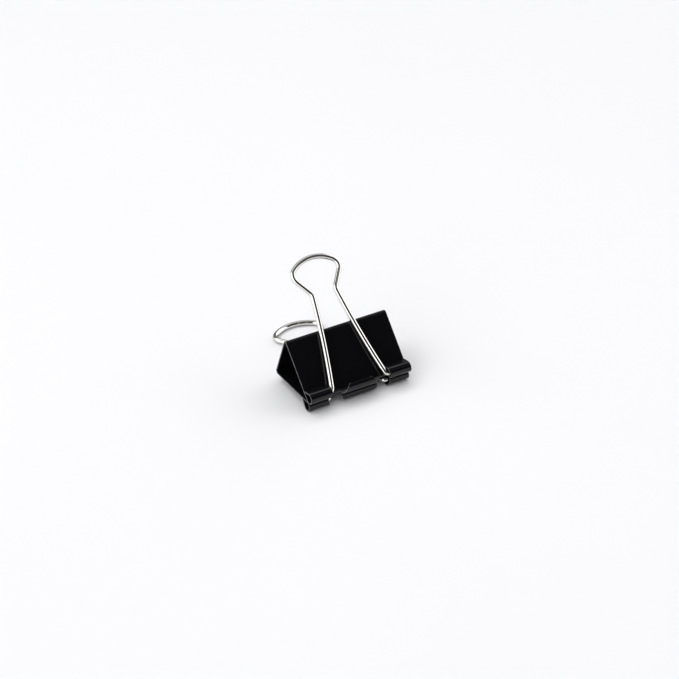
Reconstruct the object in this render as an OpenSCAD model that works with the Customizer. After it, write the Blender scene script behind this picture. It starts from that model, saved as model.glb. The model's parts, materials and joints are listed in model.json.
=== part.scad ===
// Binder clip, 41 mm wide, lying on its lower side with both wire handles folded back.
// X runs along the jaws, +Y from the jaws to the spine, +Z up; the table is at z = 0.
// The sprung sheet body is made as two sides and a spine that meet at the two corner bends.

/* [Body] */
// Width of the clip, along the jaws
clip_w = 41; // [38:0.5:46]
// Angle between the two sides when the jaws are shut
apex_angle = 48; // [40:1:54]
// Length of the flat part of a side, from jaw curl to corner bend
side_len = 21.2; // [18:0.2:25]
// Thickness of the spring-steel sheet
sheet_t = 0.5; // [0.4:0.05:0.6]
// Inner radius of the two corner bends
bend_r = 0.7; // [0.5:0.1:1]

/* [Jaw curls] */
// Outer radius of the rolled jaw edge
curl_r = 2.1; // [2.0:0.05:2.4]
// Distance from the middle of the clip to the inner end of an end curl
curl_start = 11.7; // [11.7:0.1:13]
// Angle above straight outward at which an end curl turns flat and closes
curl_crest = 58; // [50:1:64]
// Half width of the middle tab where it leaves the side
tab_root = 7.2; // [6:0.1:8.4]
// Half width of the middle tab at its free edge
tab_tip = 4.5; // [4:0.1:5.6]
// Angle above straight outward at which the middle tab ends
tab_end = 20; // [10:1:50]

/* [Wire handles] */
// Diameter of the handle wire
wire_d = 1.9; // [1.7:0.05:2.0]
// Distance from the pivot line to the middle of the wire at the top of the loop
handle_len = 48.2; // [46:0.2:52]
// Half width of the handle at its neck, to the middle of the wire
neck_half = 4.8; // [4.6:0.05:5.2]
// Distance from the pivot line to the neck
neck_pos = 34.4; // [33:0.2:35]
// Radius of the bend on each side of the neck
neck_r = 2.8; // [2.4:0.1:3]
// Half width of the handle at its widest, to the middle of the wire
head_half = 9.2; // [8.8:0.05:9.8]
// Radius of the corner bends of the loop
head_corner_r = 3.4; // [3:0.1:3.8]
// Radius of the top of the loop
head_top_r = 13; // [12:0.2:15]
// Large radius that bows each leg
leg_bow_r = 300; // [290:5:330]
// Slope of the leg where it meets the neck bend
leg_slope = 7; // [6.4:0.1:7.2]
// Radius of the bend that turns each leg out into its curl
foot_r = 1.5; // [1.3:0.1:1.6]
// Distance from the middle of the clip to the tip of a foot
foot_end = 18.5; // [16:0.5:19]

/* [Hidden] */
$fn = 96;

// Gap left where a handle rests on its corner bend, and where a curl closes on its side
rest_gap = 0.03;

// Step where a curl turns flat, and where the wire goes from a long stretch to a tight bend
join_step = 0.01;
// How far a flat part or a long stretch of wire runs on into the bend it meets
join_run = 0.1;

wire_r = wire_d / 2;
half_apex = apex_angle / 2;
bend_out_r = bend_r + sheet_t;
bend_half = (180 - (90 - half_apex)) / 2;

// Middle of the upper corner bend, with the jaws' meeting line as origin and Y along the bisector
bend_y = side_len * cos(half_apex) + (curl_r + bend_r) * sin(half_apex);
bend_z = side_len * sin(half_apex) - (curl_r + bend_r) * cos(half_apex) + curl_r;

// Angle by which a handle, resting on its corner bend, leans in towards its side
bend_reach = sqrt(pow(side_len, 2) + pow(curl_r + bend_r, 2));
lean = atan((curl_r + bend_r) / side_len) - asin((bend_out_r + wire_r + rest_gap) / bend_reach);

// Stance on the table: the lower curl and the lower handle's loop both touch it
lower_handle_drop = asin((curl_r - wire_r) / handle_len);
tilt = half_apex - lean - lower_handle_drop;
front_y = -curl_r - 2 * curl_r * sin(tilt);
back_y = handle_len * cos(lower_handle_drop) + wire_r;
jaw_y = -curl_r * sin(tilt) - (front_y + back_y) / 2;
jaw_z = curl_r * (1 + cos(tilt));

// Handle outline, right half, in its own plane: X across, Y from the pivot line to the loop
neck_c = [neck_half + neck_r, neck_pos];
top_c = [0, handle_len - head_top_r];
corner_x = head_half - head_corner_r;
corner_c = [corner_x, top_c[1] + sqrt(pow(head_top_r - head_corner_r, 2) - pow(corner_x, 2))];
leg_touch = neck_c - neck_r * [cos(leg_slope), sin(leg_slope)];
leg_c = leg_touch + leg_bow_r * [cos(leg_slope), sin(leg_slope)];
foot_slope = asin((leg_c[1] - foot_r) / (leg_bow_r - foot_r));
foot_c = [leg_c[0] - (leg_bow_r - foot_r) * cos(foot_slope), foot_r];

// Straight stretch of the loop between the neck bend and the corner bend
neck_to_corner = corner_c - neck_c;
head_lean = asin((neck_r + head_corner_r) / norm(neck_to_corner))
    + atan(neck_to_corner[0] / neck_to_corner[1]);
head_a = neck_c + neck_r * [-cos(head_lean), sin(head_lean)];
head_b = corner_c + head_corner_r * [cos(head_lean), -sin(head_lean)];
top_turn = asin(corner_x / (head_top_r - head_corner_r));

black_paint = [0.05, 0.05, 0.06];
nickel = [0.78, 0.78, 0.80];

// A strip of sheet rolled about the X axis, between two angles counted from -Z towards +Y
module rolled_strip(outer_r, from_x, to_x, from_a, to_a) {
    translate([from_x, 0, 0])
        rotate([0, 90, 0])
            rotate_extrude(start = from_a, angle = to_a - from_a)
                translate([outer_r - sheet_t, 0])
                    square([sheet_t, to_x - from_x]);
}

// One end curl: round from the jaw to its crest, then flat back down to the side
module end_curl() {
    flat_len = (curl_r * cos(curl_crest) + curl_r - sheet_t) / sin(curl_crest);
    rolled_strip(curl_r, curl_start, clip_w / 2, -180 - curl_crest, 0);
    intersection() {
        rotate([-curl_crest, 0, 0])
            translate([curl_start, -join_run, curl_r - sheet_t + join_step])
                cube([clip_w / 2 - curl_start, join_run + flat_len, sheet_t - 2 * join_step]);
        translate([0, 0, sheet_t - curl_r + rest_gap])
            cube([clip_w, 2 * side_len, 3 * curl_r]);
    }
}

// The middle tab, rolled like the curls but shorter and narrowing towards its free edge
module middle_tab() {
    tab_height = curl_r * (1 + sin(tab_end));
    intersection() {
        rolled_strip(curl_r, -tab_root, tab_root, -180 - tab_end, 0);
        union() {
            translate([-tab_root, -curl_r, -curl_r])
                cube([2 * tab_root, 2 * curl_r, curl_r]);
            translate([0, -curl_r, 0])
                linear_extrude(curl_r)
                    polygon([[-tab_root, 0], [tab_root, 0], [tab_tip, tab_height], [-tab_tip, tab_height]]);
        }
    }
}

// One side of the body with its jaw curls, lying flat, pivot line of its handle on the X axis
module side_sheet() {
    color(black_paint) {
        translate([-clip_w / 2, 0, -curl_r])
            cube([clip_w, side_len, sheet_t]);
        for (end = [0, 1])
            mirror([end, 0, 0])
                end_curl();
        middle_tab();
        translate([0, side_len, -curl_r - bend_r])
            rolled_strip(bend_out_r, -clip_w / 2, clip_w / 2, 180 - bend_half, 180);
    }
}

// A long stretch of the handle wire, run on a little at both ends into the bends it meets
module wire_arc(centre, r, from_a, to_a) {
    run_on = join_run / r * 180 / PI;
    translate([centre[0], centre[1], 0])
        rotate_extrude(start = from_a - run_on, angle = to_a - from_a + 2 * run_on)
            translate([r, 0])
                circle(wire_r);
}

// A tight bend of the handle wire, a hair thicker than the stretches it joins
module wire_bend(centre, r, from_a, to_a) {
    translate([centre[0], centre[1], 0])
        rotate_extrude(start = from_a, angle = to_a - from_a)
            translate([r, 0])
                circle(wire_r + join_step);
}

// Right half of a handle below the top of its loop: foot, leg, neck and corner
module handle_half() {
    translate([foot_c[0] - join_run, 0, 0])
        rotate([0, 90, 0])
            cylinder(h = foot_end - foot_c[0] + join_run, r = wire_r);
    wire_bend(foot_c, foot_r, 180 + foot_slope, 270);
    wire_arc(leg_c, leg_bow_r, 180 + leg_slope, 180 + foot_slope);
    wire_bend(neck_c, neck_r, 180 - head_lean, 180 + leg_slope);
    translate([head_a[0], head_a[1], 0])
        rotate([-90, 0, -head_lean])
            translate([0, 0, -join_run])
                cylinder(h = norm(head_b - head_a) + 2 * join_run, r = wire_r);
    wire_bend(corner_c, head_corner_r, -head_lean, 90 - top_turn);
}

// One wire handle folded back against its side, feet on the X axis
module wire_handle() {
    color(nickel)
        rotate([-lean, 0, 0]) {
            handle_half();
            mirror([1, 0, 0])
                handle_half();
            wire_arc(top_c, head_top_r, 90 - top_turn, 90 + top_turn);
        }
}

// Puts a piece drawn about the jaws' meeting line where it stands on the table
module in_stance() {
    translate([0, jaw_y, jaw_z])
        rotate([tilt, 0, 0])
            children();
}

// Puts a piece drawn about a pivot line on the upper side of the clip
module on_upper_side() {
    in_stance()
        translate([0, 0, curl_r])
            rotate([half_apex, 0, 0])
                children();
}

// The same on the lower side
module on_lower_side() {
    in_stance()
        mirror([0, 0, 1])
            translate([0, 0, curl_r])
                rotate([half_apex, 0, 0])
                    children();
}

module lower_side() {
    on_lower_side()
        side_sheet();
}

module upper_side() {
    on_upper_side()
        side_sheet();
}

module spine() {
    color(black_paint)
        in_stance() {
            translate([-clip_w / 2, bend_y + bend_r, -bend_z])
                cube([clip_w, sheet_t, 2 * bend_z]);
            for (end = [0, 1])
                mirror([0, 0, end])
                    translate([0, bend_y, bend_z])
                        rolled_strip(bend_out_r, -clip_w / 2, clip_w / 2, 90, 90 + bend_half);
        }
}

module lower_handle() {
    on_lower_side()
        wire_handle();
}

module upper_handle() {
    on_upper_side()
        wire_handle();
}

lower_side();
spine();
upper_side();
lower_handle();
upper_handle();
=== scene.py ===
import json
import math

import bpy
import numpy as np
from mathutils import Matrix, Vector


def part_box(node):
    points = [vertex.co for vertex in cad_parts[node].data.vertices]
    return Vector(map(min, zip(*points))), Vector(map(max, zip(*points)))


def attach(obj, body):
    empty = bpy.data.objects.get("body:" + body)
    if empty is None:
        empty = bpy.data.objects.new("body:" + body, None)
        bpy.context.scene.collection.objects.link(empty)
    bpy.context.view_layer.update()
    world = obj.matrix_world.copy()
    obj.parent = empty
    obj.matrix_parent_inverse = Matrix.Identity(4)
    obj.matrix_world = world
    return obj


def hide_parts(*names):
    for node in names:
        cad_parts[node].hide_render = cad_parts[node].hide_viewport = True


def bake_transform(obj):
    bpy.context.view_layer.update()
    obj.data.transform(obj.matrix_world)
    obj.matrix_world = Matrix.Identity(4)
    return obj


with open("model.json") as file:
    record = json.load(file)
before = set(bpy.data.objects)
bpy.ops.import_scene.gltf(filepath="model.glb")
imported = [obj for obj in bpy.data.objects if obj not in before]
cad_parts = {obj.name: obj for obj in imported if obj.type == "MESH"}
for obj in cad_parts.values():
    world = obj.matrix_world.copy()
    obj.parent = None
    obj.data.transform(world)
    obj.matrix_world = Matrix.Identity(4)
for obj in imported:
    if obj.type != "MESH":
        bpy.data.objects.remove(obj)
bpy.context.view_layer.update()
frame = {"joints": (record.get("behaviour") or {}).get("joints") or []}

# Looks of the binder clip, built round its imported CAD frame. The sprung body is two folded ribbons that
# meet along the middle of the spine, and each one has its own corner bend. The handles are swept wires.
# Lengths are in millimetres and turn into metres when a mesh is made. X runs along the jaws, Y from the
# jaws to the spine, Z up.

MM = 0.001

# Body, as in the CAD source
HALF_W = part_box("spine")[1].x / MM
HALF_APEX = math.radians(24)
SIDE_LEN = 21.2
SHEET_T = 0.5
BEND_R = 0.7
CURL_R = 2.1
CURL_START = 11.7
CURL_CREST = math.radians(58)
TAB_ROOT = 7.2
TAB_TIP = 4.5
TAB_END = math.radians(20)

# Wire handles, as in the CAD source
WIRE_R = 0.95
HANDLE_LEN = 48.2
NECK_HALF = 4.8
NECK_POS = 34.4
NECK_R = 2.8
HEAD_HALF = 9.2
HEAD_CORNER_R = 3.4
HEAD_TOP_R = 13.0
LEG_BOW_R = 300.0
LEG_SLOPE = math.radians(7)
FOOT_R = 1.5
FOOT_END = 18.5
REST_GAP = 0.03

# Details of the stamped sheet that the CAD leaves out
EDGE_R = 0.11
EDGE_STEPS = 3
CURL_CORNER_R = 0.5
TAB_CORNER_R = 0.35
SLOT_FILLET_R = 0.8
SLOT_CUT_BACK = 0.9
CUT_BACK_FROM = math.radians(-145)
CUT_BACK_TO = math.radians(-100)
FACET_LEN = 2.85

# Lines of the sheet's mesh: along the roll, how far apart they stay at the corners, and across each band
FACET_LINES = (0.45, 0.75)
ROLL_LINES = 35
ROLL_APART = math.radians(2.5)
BAND_STEPS = (6, 5, 10, 5, 6)

# Rounding of the wire's cut ends, and how many faces go round it
TIP_R = 0.35
WIRE_SIDES = 28

# Camera, about the middle of the clip's underside
CAMERA_AZIMUTH = math.radians(-30.18)
CAMERA_ELEVATION = math.radians(34.85)
CAMERA_ROLL = math.radians(0.41)
CAMERA_DISTANCE = 890.9
CAMERA_RIGHT = 5.15
CAMERA_UP = 8.11
CAMERA_LENS = 130.0


# Studio brightness along an arch over the clip: degrees up from straight behind it, and brightness there.
# The arch reaches ARCH_HALF to each side of ARCH_MIDDLE, and STUDIO_SIDES is the brightness beyond it.
STUDIO_ARCH = ((0, 0.16), (44, 0.20), (52, 1.5), (68, 1.5), (74, 0.04), (109, 0.04), (111, 0.8),
               (114, 0.8), (116, 0.02), (166, 0.02), (172, 0.5), (180, 0.6))
ARCH_MIDDLE = 0.03
ARCH_HALF = 0.60
ARCH_FADE = 0.05
STUDIO_SIDES = 1.75

# Half size of the floor, and the light over the clip, in metres and watts
FLOOR_HALF = 3.0
OVERHEAD_PLACE = (-0.1, 0.15, 1.0)
OVERHEAD_SIZE = 1.3
OVERHEAD_POWER = 7.3

# ---------------------------------------------------------------- places taken from the frame

def joint_place(name):
    """Where a joint stands, as millimetres in the Y-Z plane."""
    joint = next(j for j in frame["joints"] if j["name"] == name)
    return Vector(joint["pos_m"][1:]) / MM


UPPER_PIVOT = joint_place("upper_handle_pivot")
LOWER_PIVOT = joint_place("lower_handle_pivot")
ACROSS_JAWS = UPPER_PIVOT - LOWER_PIVOT
TILT = math.atan2(-ACROSS_JAWS.x, ACROSS_JAWS.y)

# How far a resting handle leans in towards its side
BEND_OUT_R = BEND_R + SHEET_T
BEND_DROP = CURL_R + BEND_R
LEAN = (math.atan(BEND_DROP / SIDE_LEN)
        - math.asin((BEND_OUT_R + WIRE_R + REST_GAP) / math.hypot(SIDE_LEN, BEND_DROP)))


class Side:
    """One side of the clip: its pivot, the way along it to the spine, and the way out of the clip."""

    def __init__(self, pivot, angle, out):
        self.pivot = pivot
        self.out = out
        self.along = Vector((math.cos(angle), math.sin(angle)))
        self.outward = Vector((-math.sin(angle), math.cos(angle))) * out
        lean = angle - LEAN * out
        self.handle = Vector((math.cos(lean), math.sin(lean)))
        self.handle_out = Vector((-math.sin(lean), math.cos(lean))) * out

    def turn(self, v):
        """A direction along and out of the side, as a direction in the frame."""
        flat = self.along * v[0] + self.outward * v[1]
        return Vector((0, flat.x, flat.y))

    def place(self, x, v):
        """A point x along the jaws and v along and out of the side, in millimetres."""
        return Vector((x, self.pivot.x, self.pivot.y)) + self.turn(v)


UPPER = Side(UPPER_PIVOT, TILT + HALF_APEX, 1)
LOWER = Side(LOWER_PIVOT, TILT - HALF_APEX, -1)


# ---------------------------------------------------------------- mesh helpers

def mesh_object(name, points, faces, attributes):
    """A smooth mesh object from points in millimetres, with named values at its points."""
    mesh = bpy.data.meshes.new(name)
    mesh.from_pydata([tuple(c * MM for c in p) for p in points], [], faces)
    mesh.validate()
    for label, values in attributes.items():
        is_vector = hasattr(values[0], "__len__")
        layer = mesh.attributes.new(label, "FLOAT_VECTOR" if is_vector else "FLOAT", "POINT")
        layer.data.foreach_set("vector" if is_vector else "value", np.array(values, np.float32).ravel())
    mesh.shade_smooth()
    obj = bpy.data.objects.new(name, mesh)
    bpy.context.scene.collection.objects.link(obj)
    return obj


def crisp_edges(obj, angle=math.radians(50)):
    """Keeps the sharp corners of a smooth mesh sharp and its flat faces flat."""
    obj.data.set_sharp_from_angle(angle=angle)
    weighted = obj.modifiers.new("flat faces", "WEIGHTED_NORMAL")
    weighted.keep_sharp = True


def rounding(distance, radius):
    """How far a rounded corner pulls in, at this distance from its end."""
    if distance >= radius:
        return 0.0
    return radius - math.sqrt(radius ** 2 - (radius - distance) ** 2)


def corner_steps(radius, steps=4):
    """Distances from a rounded corner's end that turn by equal angles."""
    return [radius * (1 - math.cos(math.radians(90) * k / steps)) for k in range(steps + 1)]


def ease(value, low, high):
    """0 below low, 1 above high and smooth between."""
    t = min(max((value - low) / (high - low), 0.0), 1.0)
    return t * t * (3 - 2 * t)


# ---------------------------------------------------------------- body sheet

CURL_MID_R = CURL_R - SHEET_T / 2
BEND_MID_R = BEND_R + SHEET_T / 2
ROLL_START = -math.pi - CURL_CREST
TAB_START = -math.pi - TAB_END
BEND_TURN_END = math.radians(90) - HALF_APEX
SPINE_HALF = (SIDE_LEN * math.sin(HALF_APEX) - BEND_DROP * math.cos(HALF_APEX) + CURL_R)


def ring_dir(angle):
    """Direction at an angle counted from straight in, towards the spine."""
    return Vector((math.sin(angle), -math.cos(angle)))


class Station:
    """One line of the sheet's middle surface, from jaw edge to spine."""

    def __init__(self, place, normal, roll=0.0, end_gap=9.0):
        self.place = place
        self.normal = normal
        self.roll = roll
        self.end_gap = end_gap


def facet_stations():
    """The flat that closes an end curl, from its free edge to the crest."""
    crest = ring_dir(ROLL_START) * CURL_MID_R
    normal = -ring_dir(ROLL_START)
    travel = Vector((-math.cos(ROLL_START), -math.sin(ROLL_START)))
    gaps = corner_steps(CURL_CORNER_R) + [FACET_LEN * share for share in FACET_LINES]
    return [Station(crest + travel * (FACET_LEN - gap), normal, ROLL_START - 1, gap) for gap in gaps]


def roll_angles():
    """Angles round the roll, with lines where the tab and the slots turn their corners."""
    even = list(np.linspace(ROLL_START, 0, ROLL_LINES))
    tab = [TAB_START + d / CURL_MID_R for d in corner_steps(TAB_CORNER_R)]
    root = [-d / CURL_MID_R for d in corner_steps(SLOT_FILLET_R)]
    kept = [a for a in even if min(abs(a - b) for b in tab + root) > ROLL_APART]
    return sorted(kept + tab + root)


def roll_stations():
    """The roll at the jaw, from its crest to the flat side."""
    return [Station(ring_dir(a) * CURL_MID_R, -ring_dir(a), a) for a in roll_angles()]


def side_stations(steps=8):
    """The flat side, from the roll to the corner bend."""
    flat = Vector((0, -CURL_MID_R))
    return [Station(flat + Vector((SIDE_LEN * k / steps, 0)), Vector((0, 1)), 1) for k in range(1, steps + 1)]


def bend_stations(steps=20):
    """The corner bend, from the side to the spine."""
    centre = Vector((SIDE_LEN, -BEND_DROP))
    angles = np.linspace(math.pi, BEND_TURN_END, steps + 1)[1:]
    return [Station(centre + ring_dir(a) * BEND_MID_R, ring_dir(a), 1) for a in angles]


def spine_stations(steps=4):
    """The half of the spine that this ribbon makes."""
    normal = ring_dir(BEND_TURN_END)
    start = Vector((SIDE_LEN, -BEND_DROP)) + normal * BEND_MID_R
    travel = Vector((-math.cos(BEND_TURN_END), -math.sin(BEND_TURN_END)))
    return [Station(start + travel * SPINE_HALF * k / steps, normal, 1) for k in range(1, steps + 1)]


def tab_half(roll):
    """Half width of the middle tab, which narrows once it has turned past the jaw."""
    past_jaw = max(-math.pi / 2 - roll, 0.0)
    return TAB_ROOT + (TAB_TIP - TAB_ROOT) * past_jaw / (math.pi / 2 + TAB_END)


def column_anchors(station):
    """Where the tab, the slots and the ends of the sheet stand along X at a station."""
    roll = min(station.roll, 0.0)
    from_root = -roll * CURL_MID_R
    cut_back = SLOT_CUT_BACK * ease(roll, CUT_BACK_FROM, CUT_BACK_TO)
    fillet = rounding(from_root, SLOT_FILLET_R)
    end_pull = rounding(station.end_gap, CURL_CORNER_R)
    tab = tab_half(max(roll, TAB_START)) + fillet
    if roll < 0:
        tab -= rounding(max(roll - TAB_START, 0) * CURL_MID_R, TAB_CORNER_R)
    slot = CURL_START + cut_back - fillet + end_pull
    end = HALF_W - end_pull
    return [-end, -slot, -tab, tab, slot, end]


def columns(station):
    """Where the lines of the sheet's mesh stand along X at a station."""
    anchors = column_anchors(station)
    xs = [anchors[0]]
    for start, end, steps in zip(anchors, anchors[1:], BAND_STEPS):
        xs += [start + (end - start) * k / steps for k in range(1, steps + 1)]
    return xs


def band_shown(band, station):
    """Whether a band of the sheet exists just past a station: slots are open and the tab is short."""
    if station.roll >= -1e-9:
        return True
    if band in (1, 3):
        return False
    if band == 2:
        return station.roll >= TAB_START - 1e-9
    return True


def middle_surface(stations):
    """Grid points and faces of the sheet's middle, without the slots."""
    column_band = [band for band, steps in enumerate(BAND_STEPS) for _ in range(steps)]
    wide = len(column_band) + 1
    faces = []
    for row, station in enumerate(stations[:-1]):
        for col, band in enumerate(column_band):
            if band_shown(band, station):
                a = row * wide + col
                faces.append((a, a + 1, a + 1 + wide, a + wide))
    run = 0.0
    points = []
    for row, station in enumerate(stations):
        if row:
            run += (station.place - stations[row - 1].place).length
        points += [(x, station, run) for x in columns(station)]
    used = sorted({v for face in faces for v in face})
    number = {v: k for k, v in enumerate(used)}
    return [points[v] for v in used], [tuple(number[v] for v in face) for face in faces]


def rim_profile():
    """Rounded cut edge of the sheet, from its outer face to its inner face: (outwards, height)."""
    half = SHEET_T / 2
    turn = [math.radians(90) * k / EDGE_STEPS for k in range(EDGE_STEPS + 1)]
    top = [(EDGE_R * (math.sin(a) - 1), half + EDGE_R * (math.cos(a) - 1)) for a in turn]
    return top + [(m, -h) for m, h in reversed(top)]


def rim_directions(places, normals, faces, on_seam):
    """The boundary edges of the middle surface, and the way out of the sheet at each boundary point."""
    edges = {(face[k], face[(k + 1) % 4]) for face in faces for k in range(4)}
    boundary = sorted(e for e in edges if (e[1], e[0]) not in edges)
    ways = {}
    for a, b in boundary:
        if on_seam[a] and on_seam[b]:
            for v in (a, b):
                ways.setdefault(v, [])
            continue
        along = (places[b] - places[a]).normalized()
        for v in (a, b):
            ways.setdefault(v, []).append(along.cross(normals[v]).normalized())
    out = {}
    for v, found in ways.items():
        total = sum(found, Vector((0, 0, 0)))
        if len(found) == 2:
            total = total / (1 + found[0].dot(found[1]))
        out[v] = total
    return boundary, out


def ribbon(name, side):
    """A closed half of the body with real thickness and rounded cut edges."""
    stations = facet_stations() + roll_stations() + side_stations() + bend_stations() + spine_stations()
    grid, faces = middle_surface(stations)
    places = [side.place(x, station.place) for x, station, run in grid]
    normals = [side.turn(station.normal) for x, station, run in grid]
    on_seam = [station is stations[-1] for x, station, run in grid]
    first = faces[0]
    facing = (places[first[1]] - places[first[0]]).cross(places[first[3]] - places[first[0]])
    if facing.dot(normals[first[0]]) < 0:
        faces = [tuple(reversed(face)) for face in faces]
    boundary, ways = rim_directions(places, normals, faces, on_seam)
    profile = rim_profile()
    points, cut, sheet = [], [], []

    def add(index, outwards, height, worn):
        x, station, run = grid[index]
        points.append(places[index] + ways.get(index, Vector()) * outwards + normals[index] * height)
        cut.append(worn)
        sheet.append((x, run, height))
        return len(points) - 1

    rim = {v: [add(v, m, h, 0.0 if k in (0, len(profile) - 1) else 1.0) for k, (m, h) in enumerate(profile)]
           for v in sorted(ways)}
    outer = {v: rim[v][0] if v in rim else add(v, 0, SHEET_T / 2, 0.0) for v in range(len(grid))}
    inner = {v: rim[v][-1] if v in rim else add(v, 0, -SHEET_T / 2, 0.0) for v in range(len(grid))}
    solid = [tuple(outer[v] for v in face) for face in faces]
    solid += [tuple(inner[v] for v in reversed(face)) for face in faces]
    for a, b in boundary:
        for k in range(len(profile) - 1):
            solid.append((rim[b][k], rim[a][k], rim[a][k + 1], rim[b][k + 1]))
    obj = mesh_object(name, points, solid, {"cut_edge": cut, "sheet_place": sheet})
    crisp_edges(obj)
    return obj


def bend_ends(side):
    """Where a corner bend starts and stops turning, on the middle of the sheet, in metres."""
    centre = Vector((SIDE_LEN, -BEND_DROP))
    start = side.place(0, centre + ring_dir(math.pi) * BEND_MID_R)
    end = side.place(0, centre + ring_dir(BEND_TURN_END) * BEND_MID_R)
    return start * MM, end * MM


# ---------------------------------------------------------------- wire handles

def on_circle(centre, radius, angle):
    """A point at an angle on a circle in the handle's plane."""
    return Vector((centre[0] + radius * math.cos(angle), centre[1] + radius * math.sin(angle)))


def arc(centre, radius, start, end, steps):
    """Points of the wire's middle round a bend."""
    return [on_circle(centre, radius, a) for a in np.linspace(start, end, steps + 1)]


def half_outline():
    """Middle of the wire from the tip of the right foot to the top of the loop: X across, Y out."""
    neck = Vector((NECK_HALF + NECK_R, NECK_POS))
    top = Vector((0, HANDLE_LEN - HEAD_TOP_R))
    corner_x = HEAD_HALF - HEAD_CORNER_R
    corner = Vector((corner_x, top.y + math.sqrt((HEAD_TOP_R - HEAD_CORNER_R) ** 2 - corner_x ** 2)))
    leg = on_circle(neck, LEG_BOW_R - NECK_R, LEG_SLOPE)
    foot_slope = math.asin((leg.y - FOOT_R) / (LEG_BOW_R - FOOT_R))
    foot = Vector((leg.x - (LEG_BOW_R - FOOT_R) * math.cos(foot_slope), FOOT_R))
    to_corner = corner - neck
    head_lean = (math.asin((NECK_R + HEAD_CORNER_R) / to_corner.length)
                 + math.atan(to_corner.x / to_corner.y))
    top_turn = math.asin(corner_x / (HEAD_TOP_R - HEAD_CORNER_R))
    quarter = math.radians(90)
    half_turn = math.pi
    points = [Vector((x, 0)) for x in np.linspace(FOOT_END - TIP_R, foot.x + 0.5, 5)]
    points += arc(foot, FOOT_R, 3 * quarter, half_turn + foot_slope, 12)
    points += arc(leg, LEG_BOW_R, half_turn + foot_slope, half_turn + LEG_SLOPE, 26)[1:]
    points += arc(neck, NECK_R, half_turn + LEG_SLOPE, half_turn - head_lean, 10)[1:]
    points += arc(corner, HEAD_CORNER_R, -head_lean, quarter - top_turn, 16)
    points += arc(top, HEAD_TOP_R, quarter - top_turn, quarter, 12)[1:]
    return points


def wire_path():
    """The whole handle's middle line, its directions, and the distance run along it."""
    right = half_outline()
    left = [Vector((-p.x, p.y)) for p in reversed(right[:-1])]
    line = right + left
    ahead = [(b - a).normalized() for a, b in zip(line, line[1:])]
    ways = [ahead[0]] + [(a + b).normalized() for a, b in zip(ahead, ahead[1:])] + [ahead[-1]]
    run = [0.0]
    for a, b in zip(line, line[1:]):
        run.append(run[-1] + (b - a).length)
    return line, ways, run


def tip_rings(line, ways, run):
    """Rings (middle, direction, run, radius) along the wire, with its cut ends rounded over."""
    turns = [math.radians(90) * k / 4 for k in range(1, 5)]
    rings = [(p, w, s, WIRE_R) for p, w, s in zip(line, ways, run)]
    for a in turns:
        reach = TIP_R * math.sin(a)
        radius = WIRE_R - TIP_R * (1 - math.cos(a))
        rings.insert(0, (line[0] - ways[0] * reach, ways[0], -reach, radius))
        rings.append((line[-1] + ways[-1] * reach, ways[-1], run[-1] + reach, radius))
    return rings


def wire(name, side):
    """One handle: a round wire swept along its outline in the plane it rests in."""
    rings = tip_rings(*wire_path())
    around = [2 * math.pi * k / WIRE_SIDES for k in range(WIRE_SIDES)]
    along_dir = Vector((0, side.handle.x, side.handle.y))
    out_dir = Vector((0, side.handle_out.x, side.handle_out.y))
    origin = Vector((0, side.pivot.x, side.pivot.y))
    points, place = [], []
    for middle, way, run, radius in rings:
        centre = origin + Vector((middle.x, 0, 0)) + along_dir * middle.y
        across = Vector((-way.y, 0, 0)) + along_dir * way.x
        for a in around:
            points.append(centre + (across * math.cos(a) + out_dir * math.sin(a)) * radius)
            place.append((run, radius * math.cos(a), radius * math.sin(a)))
    faces = []
    for ring in range(len(rings) - 1):
        for k in range(WIRE_SIDES):
            a = ring * WIRE_SIDES + k
            b = ring * WIRE_SIDES + (k + 1) % WIRE_SIDES
            faces.append((a, b, b + WIRE_SIDES, a + WIRE_SIDES))
    faces.append(tuple(reversed(range(WIRE_SIDES))))
    last = (len(rings) - 1) * WIRE_SIDES
    faces.append(tuple(range(last, last + WIRE_SIDES)))
    if side.out < 0:
        faces = [tuple(reversed(face)) for face in faces]
    return mesh_object(name, points, faces, {"wire_place": place})


# ---------------------------------------------------------------- materials

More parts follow.
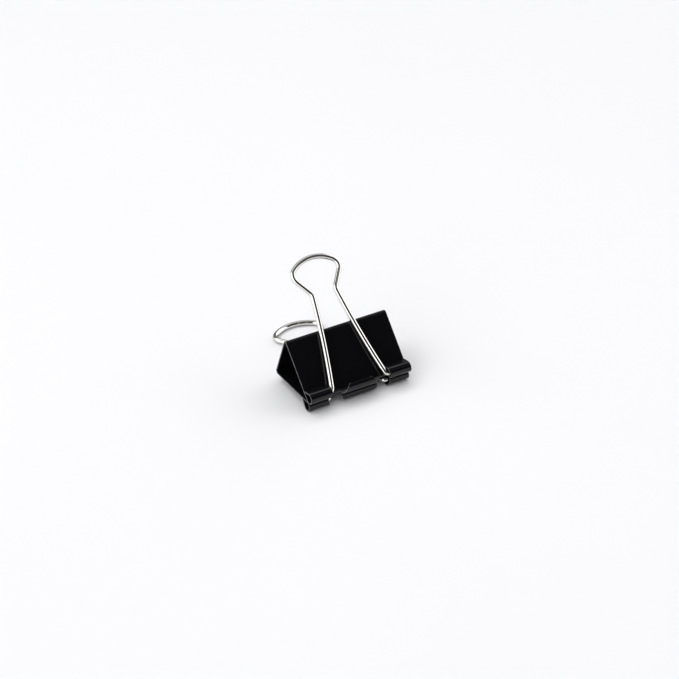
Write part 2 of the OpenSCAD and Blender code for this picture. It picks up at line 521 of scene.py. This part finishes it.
class Nodes:
    """A material's node tree with short ways to add and link nodes."""

    def __init__(self, name):
        self.material = bpy.data.materials.new(name)
        self.material.use_nodes = True
        self.tree = self.material.node_tree
        self.shader = self.tree.nodes["Principled BSDF"]

    def add(self, kind, inputs=None, **settings):
        """A node with its settings, and its inputs linked or set."""
        node = self.tree.nodes.new(kind)
        for key, value in settings.items():
            setattr(node, key, value)
        for key, value in (inputs or {}).items():
            if isinstance(value, bpy.types.NodeSocket):
                self.tree.links.new(value, node.inputs[key])
            else:
                node.inputs[key].default_value = value
        return node

    def link(self, output, socket):
        """Drives one of the shader's sockets."""
        self.tree.links.new(output, self.shader.inputs[socket])

    def place(self, attribute, scale):
        """The piece's own coordinates in millimetres, stretched by scale."""
        found = self.add("ShaderNodeAttribute", attribute_name=attribute).outputs["Vector"]
        return self.add("ShaderNodeVectorMath", {0: found, 1: scale}, operation="MULTIPLY").outputs[0]

    def noise(self, vector, scale, detail=2.0, roughness=0.5):
        """Soft noise from 0 to 1."""
        inputs = {"Vector": vector, "Scale": scale, "Detail": detail, "Roughness": roughness}
        return self.add("ShaderNodeTexNoise", inputs).outputs["Fac"]

    def between(self, value, low, high, to_low, to_high):
        """A value moved from one range to another."""
        inputs = {"Value": value, "From Min": low, "From Max": high, "To Min": to_low, "To Max": to_high}
        return self.add("ShaderNodeMapRange", inputs).outputs[0]

    def mix(self, share, a, b):
        """A colour between a and b."""
        node = self.add("ShaderNodeMix", data_type="RGBA")
        self.tree.links.new(share, node.inputs[0])
        node.inputs[6].default_value = (*a, 1)
        node.inputs[7].default_value = (*b, 1)
        return node.outputs[2]

    def bump(self, height, depth_mm, under=None):
        """Fine relief, on top of the relief under it."""
        inputs = {"Height": height, "Distance": depth_mm * MM, "Strength": 1.0}
        if under is not None:
            inputs["Normal"] = under
        return self.add("ShaderNodeBump", inputs).outputs[0]


def black_paint():
    """Gloss stoved paint: near black, faint orange peel, thin and worn on the cut edges."""
    n = Nodes("black_paint")
    sheet = n.place("sheet_place", (1, 1, 1))
    peel = n.noise(sheet, 1.4, 2.0)
    wave = n.noise(sheet, 0.12, 1.0)
    smear = n.noise(n.place("sheet_place", (0.25, 1.1, 1)), 0.6, 4.0, 0.6)
    edge = n.add("ShaderNodeAttribute", attribute_name="cut_edge").outputs["Fac"]
    patchy = n.between(n.noise(sheet, 0.9, 3.0, 0.6), 0.38, 0.62, 0.25, 1.0)
    worn = n.add("ShaderNodeMath", {0: edge, 1: patchy}, operation="MULTIPLY").outputs[0]
    n.link(n.mix(worn, (0.0035, 0.0035, 0.0042), (0.10, 0.10, 0.105)), "Base Color")
    n.link(n.between(smear, 0.3, 0.7, 0.05, 0.11), "Roughness")
    n.link(n.bump(peel, 0.0022, n.bump(wave, 0.02)), "Normal")
    n.shader.inputs["IOR"].default_value = 1.5
    n.shader.inputs["Specular IOR Level"].default_value = 0.32
    n.shader.inputs["Coat Weight"].default_value = 0.05
    n.shader.inputs["Coat Roughness"].default_value = 0.04
    return n.material


def nickel():
    """Bright nickel plate on drawn wire: fine lines along the wire and a slightly uneven polish."""
    n = Nodes("nickel_wire")
    drawn = n.noise(n.place("wire_place", (0.12, 6, 6)), 1.6, 3.0, 0.6)
    cloudy = n.noise(n.place("wire_place", (0.5, 1, 1)), 0.8, 3.0)
    n.link(n.mix(cloudy, (0.83, 0.81, 0.775), (0.73, 0.71, 0.675)), "Base Color")
    n.link(n.between(drawn, 0.3, 0.7, 0.03, 0.08), "Roughness")
    n.link(n.bump(drawn, 0.0008), "Normal")
    n.shader.inputs["Metallic"].default_value = 1.0
    n.shader.inputs["Specular Tint"].default_value = (0.25, 0.25, 0.26, 1)
    return n.material


def floor_white():
    """Smooth white board with a trace of mottling."""
    n = Nodes("floor_white")
    place = n.add("ShaderNodeTexCoord").outputs["Object"]
    mottled = n.noise(place, 9.0, 3.0)
    n.link(n.mix(mottled, (0.84, 0.842, 0.85), (0.86, 0.862, 0.87)), "Base Color")
    n.shader.inputs["Roughness"].default_value = 0.55
    return n.material


def paint(obj, material):
    """Gives a piece its material."""
    obj.data.materials.append(material)


# ---------------------------------------------------------------- build the clip

def build_body(material):
    """Both ribbons, built in place of the CAD sides and spine, which are hidden."""
    lower = ribbon("body_lower", LOWER)
    paint(lower, material)
    start, end = bend_ends(LOWER)
    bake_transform(lower)
    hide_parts("lower_side", "spine")
    upper = ribbon("body_upper", UPPER)
    paint(upper, material)
    start, end = bend_ends(UPPER)
    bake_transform(upper)
    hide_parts("upper_side", "spine")


def build_handles(material):
    """Both wires, each turning with its own handle."""
    for name, side in (("lower_handle", LOWER), ("upper_handle", UPPER)):
        obj = wire("wire_" + name, side)
        paint(obj, material)
        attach(obj, name)
        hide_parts(name)


# ---------------------------------------------------------------- stage

def make_floor():
    """A plain pale floor under the clip."""
    half = FLOOR_HALF
    corners = [(-half, -half, 0), (half, -half, 0), (half, half, 0), (-half, half, 0)]
    mesh = bpy.data.meshes.new("floor")
    mesh.from_pydata(corners, [], [(0, 1, 2, 3)])
    floor = bpy.data.objects.new("floor", mesh)
    bpy.context.scene.collection.objects.link(floor)
    mesh.materials.append(floor_white())


def make_lights():
    """One wide soft light overhead. It lights the floor and is left out of the reflections."""
    data = bpy.data.lights.new("overhead", "AREA")
    data.shape = "RECTANGLE"
    data.size = OVERHEAD_SIZE
    data.size_y = OVERHEAD_SIZE
    data.energy = OVERHEAD_POWER
    light = bpy.data.objects.new("overhead", data)
    light.location = OVERHEAD_PLACE
    light.rotation_euler = (-Vector(OVERHEAD_PLACE)).to_track_quat("-Z", "Y").to_euler()
    light.visible_glossy = False
    bpy.context.scene.collection.objects.link(light)


def studio_grey(bright):
    """A faintly cool grey of this brightness."""
    return (bright, bright, bright * 1.02, 1)


def world_math(tree, operation, *values):
    """A maths node in the world, fed by sockets or numbers."""
    node = tree.nodes.new("ShaderNodeMath")
    node.operation = operation
    for socket, value in zip(node.inputs, values):
        if isinstance(value, bpy.types.NodeSocket):
            tree.links.new(value, socket)
        else:
            socket.default_value = value
    return node.outputs[0]


def arch_brightness(tree, split):
    """The studio's grey along the arch, from its angle up from straight behind the clip."""
    angle = world_math(tree, "ARCTAN2", split.outputs["Z"], split.outputs["Y"])
    ramp = tree.nodes.new("ShaderNodeValToRGB")
    stops = ramp.color_ramp.elements
    for degrees, bright in STUDIO_ARCH:
        stops.new(degrees / 180).color = studio_grey(bright)
    stops.remove(stops[0])
    stops.remove(stops[-1])
    tree.links.new(world_math(tree, "DIVIDE", angle, math.pi), ramp.inputs[0])
    return ramp.outputs[0]


def beyond_arch(tree, split):
    """0 on the arch and 1 to the left and right of it."""
    aside = world_math(tree, "SUBTRACT", split.outputs["X"], ARCH_MIDDLE)
    fade = tree.nodes.new("ShaderNodeMapRange")
    fade.inputs["From Min"].default_value = ARCH_HALF
    fade.inputs["From Max"].default_value = ARCH_HALF + ARCH_FADE
    tree.links.new(world_math(tree, "ABSOLUTE", aside), fade.inputs["Value"])
    return fade.outputs[0]


def make_world():
    """A studio whose brightness changes from the back, over the top, to the front of the clip."""
    world = bpy.data.worlds.new("studio")
    world.use_nodes = True
    bpy.context.scene.world = world
    tree = world.node_tree
    split = tree.nodes.new("ShaderNodeSeparateXYZ")
    tree.links.new(tree.nodes.new("ShaderNodeTexCoord").outputs["Generated"], split.inputs[0])
    shade = tree.nodes.new("ShaderNodeMix")
    shade.data_type = "RGBA"
    shade.inputs[7].default_value = studio_grey(STUDIO_SIDES)
    tree.links.new(beyond_arch(tree, split), shade.inputs[0])
    tree.links.new(arch_brightness(tree, split), shade.inputs[6])
    tree.links.new(shade.outputs[2], tree.nodes["Background"].inputs["Color"])


def make_camera():
    """The camera looks down at the clip from the left of its jaws."""
    azimuth, elevation, roll = CAMERA_AZIMUTH, CAMERA_ELEVATION, CAMERA_ROLL
    back = Vector((math.sin(azimuth) * math.cos(elevation),
                   -math.cos(azimuth) * math.cos(elevation),
                   math.sin(elevation)))
    level_right = Vector((0, 0, 1)).cross(back).normalized()
    level_up = back.cross(level_right)
    right = level_right * math.cos(roll) + level_up * math.sin(roll)
    up = level_up * math.cos(roll) - level_right * math.sin(roll)
    data = bpy.data.cameras.new("camera")
    data.sensor_width = 36.0
    data.lens = CAMERA_LENS
    camera = bpy.data.objects.new("camera", data)
    turn = Matrix((right, up, back)).transposed().to_4x4()
    place = (back * CAMERA_DISTANCE + right * CAMERA_RIGHT + up * CAMERA_UP) * MM
    camera.matrix_world = Matrix.Translation(place) @ turn
    bpy.context.scene.collection.objects.link(camera)
    bpy.context.scene.camera = camera


bpy.context.scene.view_settings.view_transform = "Standard"
build_body(black_paint())
build_handles(nickel())
make_floor()
make_lights()
make_world()
make_camera()
